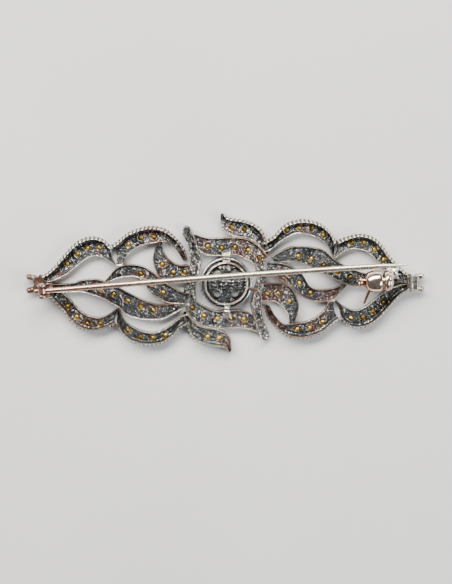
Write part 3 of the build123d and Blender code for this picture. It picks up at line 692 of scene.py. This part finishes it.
def ball(radius, place, stretch=(1, 1, 1)):
    emptySelection()
    bpy.ops.mesh.primitive_uv_sphere_add(segments=24, ring_count=12, radius=radius, location=place)
    bpy.context.object.scale = stretch
    return bakeShape(bpy.context.object)


def rod(radius, start, end):
    start, end = Vector(start), Vector(end)
    way = end - start
    emptySelection()
    bpy.ops.mesh.primitive_cylinder_add(vertices=24, radius=radius, depth=way.length,
                                        location=(start + end) / 2,
                                        rotation=way.to_track_quat("Z", "Y").to_euler())
    return bakeShape(bpy.context.object)


def roundEdges(obj, width, segments):
    rounding = obj.modifiers.new("rounding", "BEVEL")
    rounding.width = width
    rounding.segments = segments
    applyAll(obj)
    return obj


def meltTogether(parts, name, cell, soften, rough, seed):
    # joined shapes melted into one skin with a hand-worked surface
    obj = joinPieces(parts, name)
    skin = obj.modifiers.new("skin", "REMESH")
    skin.mode = "VOXEL"
    skin.voxel_size = cell
    relax = obj.modifiers.new("relax", "SMOOTH")
    relax.iterations = soften
    applyAll(obj)
    for vert in obj.data.vertices:
        big = noise.noise(vert.co * 1.5 + Vector((seed, 0, 0)))
        small = noise.noise(vert.co * 4.5 + Vector((0, seed, 0)))
        vert.co += vert.normal * rough * (big + 0.5 * small)
    return obj


def keepInside(obj, lowZ, highZ):
    for vert in obj.data.vertices:
        vert.co.z = min(max(vert.co.z, lowZ), highZ)


# Side folds: sculpted slope with a ridge, a hollow and a solder knob
sideFold = {
    "spec": dict(
        kind="fold",
        outer=[(-7.0, 10.25), (-7.7, 9.5), (-7.5, 8.4), (-6.8, 6.9), (-6.4, 5.0), (-6.3, 3.0), (-6.6, 0.9),
               (-6.7, -0.6), (-6.9, -2.6)],
        inner=[(-6.3, 9.9), (-5.6, 8.5), (-5.1, 7.0), (-4.6, 5.3), (-4.3, 4.0), (-4.6, 2.6), (-5.0, 0.8),
               (-5.3, -0.9), (-5.2, -2.4), (-5.0, -3.4)],
        stones=[]),
    "slopeFrom": 0.9, "crease": 0.24, "pits": 0.14, "sunk": 0.55, "sunkFromY": 1.5, "sunkOver": 2.5,
    "hollow": (-5.8, 6.0, 2.1), "hollowSize": (0.34, 1.15, 1.0),
    "knob": (-6.75, -1.45), "knobLow": 0.7, "knobHigh": 2.65, "knobWide": 0.95, "knobTip": 0.16,
    "knobTurn": 38,
}


def sideFoldPiece():
    look = sideFold
    obj = ribbonMesh("leftSideFold", look["spec"])
    low = look["slopeFrom"]
    for vert in obj.data.vertices:
        if vert.co.z > low:
            rough = look["crease"] * grain(vert.co, 1.7, 2.0, 0.8)
            rough += look["pits"] * grain(vert.co, 3.8, 7.0, 2.6)
            sunk = max(0.0, min(1.0, (look["sunkFromY"] - vert.co.y) / look["sunkOver"]))
            vert.co.z += rough - look["sunk"] * sunk * (vert.co.z - low)
    hx, hy, hz = look["hollow"]
    cutWith(obj, ball(1.0, (hx * fitX, hy * fitY, hz), look["hollowSize"]), selfCrossing=True)
    kx, ky = look["knob"][0] * fitX, look["knob"][1] * fitY
    bottom, high = look["knobLow"], look["knobHigh"]
    emptySelection()
    bpy.ops.mesh.primitive_cone_add(vertices=4, radius1=look["knobWide"], radius2=look["knobTip"],
                                    depth=high - bottom, location=(kx, ky, (high + bottom) / 2),
                                    rotation=(0, 0, math.radians(look["knobTurn"])))
    parts = [bakeShape(bpy.context.object), ball(0.42, (kx - 0.25, ky + 0.3, 1.4)),
             ball(0.36, (kx + 0.35, ky - 0.4, 1.3))]
    knob = meltTogether(parts, "knob", cell=0.09, soften=2, rough=0.05, seed=3.0)
    keepInside(knob, 0.3, high)
    return joinPieces([obj, knob], "leftSideFold")


leftFold = sideFoldPiece()
rightFold = halfTurned(leftFold, "rightSideFold")
finishPiece(leftFold, "frame", ["left_side_fold"], foldMetal)
finishPiece(rightFold, "frame", ["right_side_fold"], foldMetal)
print("side folds done")


# Fishtail terminals
terminal = {
    "innerX": -31.95, "outerX": -33.75, "halfWide": 1.45, "top": 1.75,
    "wallX": -32.45, "wallThick": 0.34, "wallTop": 2.1, "wallTurn": 3,
    "hornX": -34.45, "hornY": 1.18, "hornZ": 1.25, "hornRadius": 0.56, "hornRootY": 0.95, "hornRootZ": 1.1,
    "notchX": -34.2, "notchRadius": 0.62,
}


def terminalPiece():
    t = terminal
    middle = (t["innerX"] + t["outerX"]) / 2
    parts = [block((t["innerX"] - t["outerX"], 1.75 * t["halfWide"], t["top"]), (middle, 0, 0.88)),
             block((t["wallThick"], 2 * t["halfWide"] + 0.35, t["wallTop"] + 0.05), (t["wallX"], 0, 1.075),
                   (0, 0, t["wallTurn"]))]
    for side in (-1, 1):
        root = (t["outerX"] + 0.5, side * t["hornRootY"], t["hornRootZ"])
        tip = (t["hornX"], side * t["hornY"], t["hornZ"])
        parts += [rod(t["hornRadius"] * 0.95, root, tip), ball(t["hornRadius"], tip, (1, 1, 1.25))]
    obj = meltTogether(parts, "leftTerminal", cell=0.075, soften=3, rough=0.05, seed=5.0)
    keepInside(obj, 0.0, t["wallTop"])
    emptySelection()
    bpy.ops.mesh.primitive_cylinder_add(vertices=24, radius=t["notchRadius"], depth=6,
                                        location=(t["notchX"], 0, 1))
    cutWith(obj, bakeShape(bpy.context.object))
    return obj


leftEnd = terminalPiece()
rightEnd = halfTurned(leftEnd, "rightTerminal")
finishPiece(leftEnd, "frame", ["left_terminal"], hingeMetal)
finishPiece(rightEnd, "frame", ["right_terminal"], solderMetal)
print("terminals done")


def placeIn(obj, spot, turnZ=0.0, riseY=0.0):
    # from a fitting's own frame to the brooch's frame
    turn = Matrix.Rotation(math.radians(turnZ), 4, "Z") @ Matrix.Rotation(math.radians(riseY), 4, "Y")
    obj.data.transform(Matrix.Translation(spot) @ turn)
    return obj


# Hinge: lumpy base, two worn cheeks and the stop, in a frame with its origin on the rivet
hinge = {
    "spot": (-32.0 * fitX, -1.0 * fitY, 4.1), "turn": 4.129, "space": 1.5, "cheek": 0.45, "cheekLong": 1.45,
    "cheekRadius": 0.78, "holeRadius": 0.47, "drop": 2.0, "base": (2.6, 0.5), "baseX": 0.45, "solder": 0.42,
    "stop": (0.55, 1.16), "stopX": 1.5, "stopZ": -1.04,
}


def hingePiece():
    h = hinge
    wide = h["space"] + 2 * h["cheek"]
    floorZ = -h["drop"]
    parts = [block((h["base"][0], wide - 0.1, h["base"][1]), (h["baseX"], 0, floorZ + 0.22))]
    for side in (-1, 1):
        y = side * (h["space"] + h["cheek"]) / 2
        parts.append(block((h["cheekLong"], h["cheek"], h["drop"]), (0, y, floorZ / 2)))
        parts.append(rod(h["cheekRadius"], (0, y - h["cheek"] / 2, 0), (0, y + h["cheek"] / 2, 0)))
        parts.append(ball(h["solder"], (0.75, y, floorZ + 0.45), (1.5, 0.7, 0.8)))
    obj = meltTogether(parts, "hingePlates", cell=0.07, soften=3, rough=0.03, seed=7.0)
    for vert in obj.data.vertices:
        if abs(vert.co.y) < h["space"] / 2 and vert.co.z > floorZ + 0.6:
            vert.co.y = math.copysign(h["space"] / 2, vert.co.y)
    cutWith(obj, block((h["stop"][0], wide - 0.5, h["stop"][1]), (h["stopX"], 0, h["stopZ"])), "UNION")
    cutWith(obj, rod(h["holeRadius"], (0, -3, 0), (0, 3, 0)))
    return placeIn(obj, h["spot"], h["turn"])


finishPiece(hingePiece(), "frame", ["hinge_joint"], hingeMetal)
print("hinge done")


# Straps over the ring; a rung is (y, half width, height of the top, middle)
straps = {
    "upper": {"farY": 5.55, "seed": 11.0, "rungs": [(3.75, 0.8, 2.4, 0.05), (4.3, 0.62, 2.3, 0.12),
                                                   (4.85, 0.85, 2.38, -0.02), (5.2, 0.9, 2.2, 0.05)]},
    "lower": {"farY": 6.1, "seed": 13.0, "rungs": [(3.75, 0.55, 2.4, -0.15), (4.35, 0.5, 2.36, -0.15),
                                                  (4.95, 0.58, 2.3, -0.15), (5.55, 0.68, 2.2, -0.15)]},
    "rodRadius": 0.26, "endRadius": 0.3, "plateZ": 2.04, "plateThick": 0.34, "footThick": 0.5,
    "footHigh": 1.1, "footZ": 1.45, "lowest": 0.88, "highest": 2.4,
}


def strapPiece(which, name):
    # soldered strap along +Y: a row of rungs on a plate, with a foot at its far end
    look, rungs, farY = straps, straps[which]["rungs"], straps[which]["farY"]
    parts = []
    for y, half, top, middle in rungs:
        barZ = top - look["rodRadius"]
        parts.append(rod(look["rodRadius"], (middle - half + 0.2, y, barZ), (middle + half - 0.2, y, barZ)))
        parts.append(ball(look["endRadius"], (middle - half + 0.28, y + 0.05, top - 0.3)))
        parts.append(ball(look["endRadius"] - 0.02, (middle + half - 0.26, y - 0.05, top - 0.29)))
    first, last = rungs[0], rungs[-1]
    parts.append(block((min(first[1], last[1]) * 1.5, last[0] - first[0], look["plateThick"]),
                       (first[3], (last[0] + first[0]) / 2, look["plateZ"])))
    parts.append(block((last[1] * 1.7, look["footThick"], look["footHigh"]),
                       (last[3], farY - 0.27, look["footZ"])))
    obj = meltTogether(parts, name, cell=0.065, soften=2, rough=0.08, seed=straps[which]["seed"])
    keepInside(obj, look["lowest"], look["highest"])
    return obj


bridge = strapPiece("upper", "upperBridge")
finishPiece(bridge, "frame", ["upper_bridge"], solderMetal)
lowerStrap = turnHalf(strapPiece("lower", "lowerStrap"))
finishPiece(lowerStrap, "frame", ["lower_strap"], solderMetal)

# Side strip from the ring to the side fold
stripPiece = meltTogether([block((2.1, 0.5, 0.42), (4.6, -1.06, 1.86), (0, 0, -13)),
                           rod(0.12, (3.6, -0.62, 1.96), (5.6, -1.05, 1.92)),
                           ball(0.3, (5.55, -1.28, 1.82), (1.2, 1, 0.8))],
                          "sideStrip", cell=0.06, soften=2, rough=0.04, seed=17.0)
keepInside(stripPiece, 1.6, 2.1)
finishPiece(stripPiece, "frame", ["side_strip"], hingeMetal)

# Solder lump under the catch's bead: (radius, place, stretch) of each drop on a block
footDrops = [(0.62, (28.8, 1.35, 2.0), (1.1, 0.9, 0.8)), (0.66, (29.6, 1.95, 1.95), (1.1, 1.1, 0.8)),
             (0.42, (29.9, 2.4, 1.9), (1, 1, 1)), (0.4, (28.5, 2.3, 1.95), (1, 1, 1))]
footPiece = meltTogether([block((2.1, 1.9, 1.3), (29.2, 1.7, 1.55))] + [ball(*drop) for drop in footDrops],
                         "catchFoot", cell=0.08, soften=3, rough=0.1, seed=19.0)
keepInside(footPiece, 0.9, 2.5)
finishPiece(footPiece, "frame", ["catch_foot"], solderMetal)
print("solder and straps done")


# Turned parts of the catch, with the origin in the barrel and X along it; outlines are (along, radius)
catch = {
    "spot": (26.6 * fitX, 0.6 * fitY, 4.6), "turn": 0.93, "spinSteps": 72, "tubeSteps": 48,
    "smoothAngle": 35,
    "rotor": [(-2.5, 0.97), (-2.5, 1.03), (-2.44, 1.2), (-2.28, 1.42), (-2.0, 1.64), (-1.6, 1.81),
              (-1.15, 1.91), (-0.6, 1.95), (-0.15, 1.94), (0.15, 1.88), (0.34, 1.78), (0.46, 1.64),
              (0.5, 1.48), (0.5, 0.97)],
    "bead": [(0.85, 0.66), (0.85, 1.45), (0.9, 1.64), (1.02, 1.78), (1.25, 1.85), (1.55, 1.82), (1.70, 1.72),
             (1.76, 1.62), (1.84, 1.66), (2.02, 1.60), (2.2, 1.40), (2.33, 1.15), (2.4, 0.9), (2.4, 0.66)],
    "tube": [(-3.5, 0.66), (-3.5, 0.95), (-3.45, 1.01), (-3.3, 1.01), (-3.2, 0.96), (-3.1, 0.88),
             (-2.95, 0.84), (1.4, 0.84), (1.4, 0.66)],
    "rotorSlot": 0.65, "bodySlot": 0.6, "neck": (1.05, 1.25, 1.1), "neckPlace": (1.75, 0.6, -1.55),
    "lever": {"x": -1.05, "wide": 0.42, "deep": 0.85, "from": 1.3, "reach": 4.3, "lean": -22, "drop": 10,
              "rounding": 0.14},
}


def spinPiece(profile, name, steps):
    # turns a closed profile of (along, radius) round the X axis
    emptySelection()
    bpy.ops.mesh.primitive_circle_add(vertices=len(profile), radius=1)
    obj = bpy.context.object
    obj.name = name
    for vert, (along, radius) in zip(obj.data.vertices, profile):
        vert.co = (along, radius, 0)
    useOnly(obj)
    bpy.ops.object.mode_set(mode="EDIT")
    bpy.ops.mesh.select_all(action="SELECT")
    bpy.ops.mesh.spin(steps=steps, angle=2 * math.pi, center=(0, 0, 0), axis=(1, 0, 0))
    bpy.ops.mesh.select_all(action="SELECT")
    bpy.ops.mesh.remove_doubles(threshold=0.001)
    bpy.ops.mesh.normals_make_consistent(inside=False)
    bpy.ops.object.mode_set(mode="OBJECT")
    return obj


def slotCutter(halfHigh):
    return block((12, 4, 2 * halfHigh), (-0.5, 2.0, 0))


def leverBar():
    look = catch["lever"]
    bar = block((look["wide"], look["reach"] - look["from"], look["deep"]),
                (0, -(look["reach"] + look["from"]) / 2, 0))
    roundEdges(bar, look["rounding"], 3)
    drop = Matrix.Rotation(math.radians(look["drop"]), 4, "X")
    lean = Matrix.Rotation(math.radians(look["lean"]), 4, "Z")
    bar.data.transform(Matrix.Translation((look["x"], 0, 0)) @ drop @ lean)
    return bar


rotor = spinPiece(catch["rotor"], "catchRotor", catch["spinSteps"])
cutWith(rotor, leverBar(), "UNION")
cutWith(rotor, slotCutter(catch["rotorSlot"]))
placeIn(rotor, catch["spot"], catch["turn"])
finishPiece(rotor, "sleeve", ["catch_rotor"], catchMetal, catch["smoothAngle"])

catchBody = spinPiece(catch["bead"], "catchBody", catch["spinSteps"])
cutWith(catchBody, spinPiece(catch["tube"], "tube", catch["tubeSteps"]), "UNION")
cutWith(catchBody, block(catch["neck"], catch["neckPlace"]), "UNION")
cutWith(catchBody, slotCutter(catch["bodySlot"]))
placeIn(catchBody, catch["spot"], catch["turn"])
finishPiece(catchBody, "frame", ["catch_body"], catchMetal, catch["smoothAngle"])
print("catch done")


# Pin: a drawn wire with a filed point, its eye and tail on the rivet; stations are (along, sideways, radius)
pin = {
    "rise": -0.489, "sides": 28, "eyeRadius": 0.75, "eyeThick": 0.8, "eyeHole": 0.38, "smoothAngle": 50,
    "tailLong": 1.1, "tailHigh": 0.56, "tailX": -0.85, "tailRounding": 0.2,
    "stations": [(0.3, 0.0, 0.40), (2.0, 0.02, 0.42), (6.0, 0.06, 0.46), (12.0, 0.11, 0.49),
                 (17.6, 0.15, 0.5), (26.0, 0.18, 0.5), (35.2, 0.2, 0.5), (44.0, 0.15, 0.495),
                 (52.0, 0.08, 0.48), (56.0, 0.04, 0.455), (58.6, 0.0, 0.41), (60.2, -0.05, 0.365),
                 (61.6, -0.09, 0.25), (62.9, -0.12, 0.155), (63.9, -0.15, 0.04)],
}


def pinPiece():
    emptySelection()
    bpy.ops.mesh.primitive_cylinder_add(vertices=pin["sides"], radius=1, depth=1)
    obj = bpy.context.object
    obj.name = "pinStem"
    useOnly(obj)
    stations = pin["stations"]
    bpy.ops.object.mode_set(mode="EDIT")
    bpy.ops.mesh.select_all(action="DESELECT")
    bpy.ops.object.mode_set(mode="OBJECT")
    for face in obj.data.polygons:
        face.select = face.normal.z > 0.9
    bpy.ops.object.mode_set(mode="EDIT")
    for step in stations[2:]:
        bpy.ops.mesh.extrude_region_move(TRANSFORM_OT_translate={"value": (0, 0, 1)})
    bpy.ops.object.mode_set(mode="OBJECT")
    for vert in obj.data.vertices:
        along, side, radius = stations[round(vert.co.z + 0.5)]
        vert.co = (along, side + vert.co.x * radius, vert.co.y * radius)
    half = pin["eyeThick"] / 2
    cutWith(obj, rod(pin["eyeRadius"], (0, -half, 0), (0, half, 0)), "UNION")
    tail = block((pin["tailLong"], pin["eyeThick"] * 0.95, pin["tailHigh"]), (pin["tailX"], 0, 0))
    cutWith(obj, roundEdges(tail, pin["tailRounding"], 4), "UNION")
    cutWith(obj, rod(pin["eyeHole"], (0, -2, 0), (0, 2, 0)))
    return placeIn(obj, hinge["spot"], hinge["turn"], pin["rise"])


finishPiece(pinPiece(), "pin", ["pin_stem"], wireMetal, pin["smoothAngle"])
print("pin done")


# Centre setting: cup with a raised rim, a jagged bar and four oval windows, seats to the front
setting = {
    "plateRadius": 3.1, "plateZ": 2.28, "highest": 2.6, "rings": 30, "sectors": 120,
    "rim": [(3.1, 2.28), (3.2, 2.2), (3.32, 2.18), (3.42, 2.3), (3.5, 2.52), (3.6, 2.6), (3.74, 2.58),
            (3.86, 2.44), (3.9, 2.2), (3.9, 0.5), (3.84, 0.3), (3.7, 0.2)],
    "barLow": -1.0, "barHigh": 0.9, "barRise": 0.22, "barRow": 0.63, "jagPerMm": 2.2,
    "lump": (0.5, 2.5), "lumpRadius": 0.45, "lumpRise": 0.28,
    "stone": (1.5, 1.6), "stoneRadius": 1.33, "stoneDepth": 1.4, "coneTop": 0.62, "coneDepth": 1.1,
    "window": (1.62, 1.95), "windowHalf": (0.78, 0.90), "beadRadius": 0.17, "beads": 3, "beadGap": 0.55,
}


def plateHeight(x, y):
    # worn plate with a band of ragged zigzag rows and one solder lump
    look = setting
    coarse = grain((x, y), 1.3, 4.0)
    rise = 0.05 * coarse + 0.04 * grain((x, y), 4.0, 8.0)
    if look["barLow"] < y < look["barHigh"]:
        jag = abs(math.sin(look["jagPerMm"] * x + 1.5 * grain((x, y), 1.2, 0.0, 1.6)))
        row = abs(math.sin(math.pi * (y - look["barLow"]) / look["barRow"] + 1.2 * jag))
        rise += look["barRise"] * row ** 1.5 * (0.6 + 0.4 * coarse)
    offX, offY = [(here - there) / look["lumpRadius"] for here, there in zip((x, y), look["lump"])]
    return rise + look["lumpRise"] * math.exp(-(offX ** 2 + offY ** 2))


def ovalCutter(place, halfSize):
    emptySelection()
    bpy.ops.mesh.primitive_cylinder_add(vertices=28, radius=1, depth=6,
                                        location=(place[0] * fitX, place[1] * fitY, 1))
    bpy.context.object.scale = (*halfSize, 1)
    return bakeShape(bpy.context.object)


def settingPiece():
    look = setting
    heights = [(look["plateRadius"] * k / look["rings"], look["plateZ"]) for k in range(look["rings"])]
    heights += look["rim"]
    emptySelection()
    bpy.ops.mesh.primitive_grid_add(x_subdivisions=look["sectors"], y_subdivisions=len(heights) - 1, size=1)
    obj = bpy.context.object
    obj.name = "centreSetting"
    for vert in obj.data.vertices:
        radius, z = heights[round((vert.co.y + 0.5) * (len(heights) - 1))]
        angle = 2 * math.pi * (vert.co.x + 0.5)
        x, y = radius * math.cos(angle), radius * math.sin(angle)
        if radius <= look["plateRadius"]:
            z += plateHeight(x, y)
        elif z > 2.4:
            z += 0.03 * grain((x, y), 2.0, 6.0)
        vert.co = (x, y, min(z, look["highest"]))
    closeTube(obj)
    for signX in (-1, 1):
        for signY in (-1, 1):
            x, y = signX * look["stone"][0], signY * look["stone"][1]
            emptySelection()
            bpy.ops.mesh.primitive_cylinder_add(vertices=32, radius=look["stoneRadius"],
                                                depth=look["stoneDepth"], location=(x, y, 0.2))
            cutWith(obj, bakeShape(bpy.context.object))
            emptySelection()
            bpy.ops.mesh.primitive_cone_add(vertices=32, radius1=look["stoneRadius"], radius2=look["coneTop"],
                                            depth=look["coneDepth"], location=(x, y, 1.44))
            cutWith(obj, bakeShape(bpy.context.object))
            window = (signX * look["window"][0], signY * look["window"][1])
            cutWith(obj, ovalCutter(window, look["windowHalf"]))
    beads = [ball(look["beadRadius"], (3.32, look["beadGap"] * (1 - k), 2.38)) for k in range(look["beads"])]
    return joinPieces([obj] + beads, "centreSetting")


finishPiece(settingPiece(), "frame", ["centre_setting"], settingMetal)

# Ring of flat wire round the cup, its back edge rounded by wear; (height, radius)
ring = {
    "profile": [(0.5, 4.07), (0.5, 4.57), (1.55, 4.57), (1.74, 4.53), (1.86, 4.44), (1.9, 4.32), (1.86, 4.2),
                (1.74, 4.11), (1.55, 4.07)],
    "steps": 144, "wear": 0.07, "wearFromZ": 1.0, "smoothAngle": 50,
}
ringPiece = spinPiece(ring["profile"], "centreRing", ring["steps"])
ringPiece.data.transform(Matrix.Rotation(math.radians(-90), 4, "Y"))
for vert in ringPiece.data.vertices:
    if vert.co.z > ring["wearFromZ"]:
        vert.co.z -= ring["wear"] * max(0.0, noise.noise(vert.co * 0.8))
finishPiece(ringPiece, "frame", ["centre_ring"], ringMetal, ring["smoothAngle"])
print("centre done")


# CAD pieces that keep their shape get their finish
def dressNode(node, material):
    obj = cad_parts[node]
    obj.data.materials.clear()
    obj.data.materials.append(material)


dressNode("hinge_rivet", hingeMetal)
dressNode("centre_stones", pasteStone)
print("carried pieces dressed")


# Floor, light and camera

stageSet = {
    "floor": 1.2, "floorTones": ((0.74, 0.74, 0.73), (0.78, 0.78, 0.77)),
    "distance": 0.30, "frameHigh": 0.1027, "aimY": -0.0016, "aimZ": 0.001, "leanX": -0.03, "leanY": 0.11,
    "worldTone": (0.82, 0.82, 0.83, 1), "worldPower": 0.20,
    "lamps": {
        "keyWindow": dict(place=(-0.14, 0.38, 0.40), size=(0.9, 0.22), power=11.0, tone=(1.0, 0.97, 0.93)),
        "fillWindow": dict(place=(0.42, -0.16, 0.34), size=(0.3, 0.3), power=2.4, tone=(0.95, 0.97, 1.0)),
    },
}

emptySelection()
bpy.ops.mesh.primitive_plane_add(size=stageSet["floor"], location=(0, 0, 0))
floor = bpy.context.object
floor.name = "paleFloor"
floorSheet = NodeSheet("paleFloorPaint")
floorTones = list(zip((0.3, 0.7), stageSet["floorTones"]))
floorSheet.out("Base Color", floorSheet.ramp(floorSheet.noise(0.02, 2.0), floorTones))
floorSheet.shader.inputs["Roughness"].default_value = 0.9
floor.data.materials.append(floorSheet.material)


def areaLight(name, place, size, power, tone):
    lamp = bpy.data.lights.new(name, "AREA")
    lamp.shape = "RECTANGLE"
    lamp.size, lamp.size_y = size
    lamp.energy = power
    lamp.color = tone
    obj = bpy.data.objects.new(name, lamp)
    obj.location = place
    obj.rotation_euler = (-Vector(place)).to_track_quat("-Z", "Y").to_euler()
    bpy.context.scene.collection.objects.link(obj)


for name, lamp in stageSet["lamps"].items():
    areaLight(name, **lamp)

world = bpy.context.scene.world or bpy.data.worlds.new("studio")
bpy.context.scene.world = world
world.use_nodes = True
world.node_tree.nodes["Background"].inputs["Color"].default_value = stageSet["worldTone"]
world.node_tree.nodes["Background"].inputs["Strength"].default_value = stageSet["worldPower"]

cameraData = bpy.data.cameras.new("camera")
cameraData.sensor_fit = "VERTICAL"
cameraData.angle = 2 * math.atan(stageSet["frameHigh"] / 2 / stageSet["distance"])
cameraData.clip_start = 0.01
camera = bpy.data.objects.new("camera", cameraData)
aim = Vector((0, stageSet["aimY"], stageSet["aimZ"]))
direction = Vector((stageSet["leanX"], stageSet["leanY"], 1)).normalized()
camera.location = aim + direction * stageSet["distance"]
right = Vector((0, 1, 0)).cross(direction).normalized()
camera.rotation_euler = Matrix((right, direction.cross(right), direction)).transposed().to_euler()
bpy.context.scene.collection.objects.link(camera)
bpy.context.scene.camera = camera
print("stage ready")
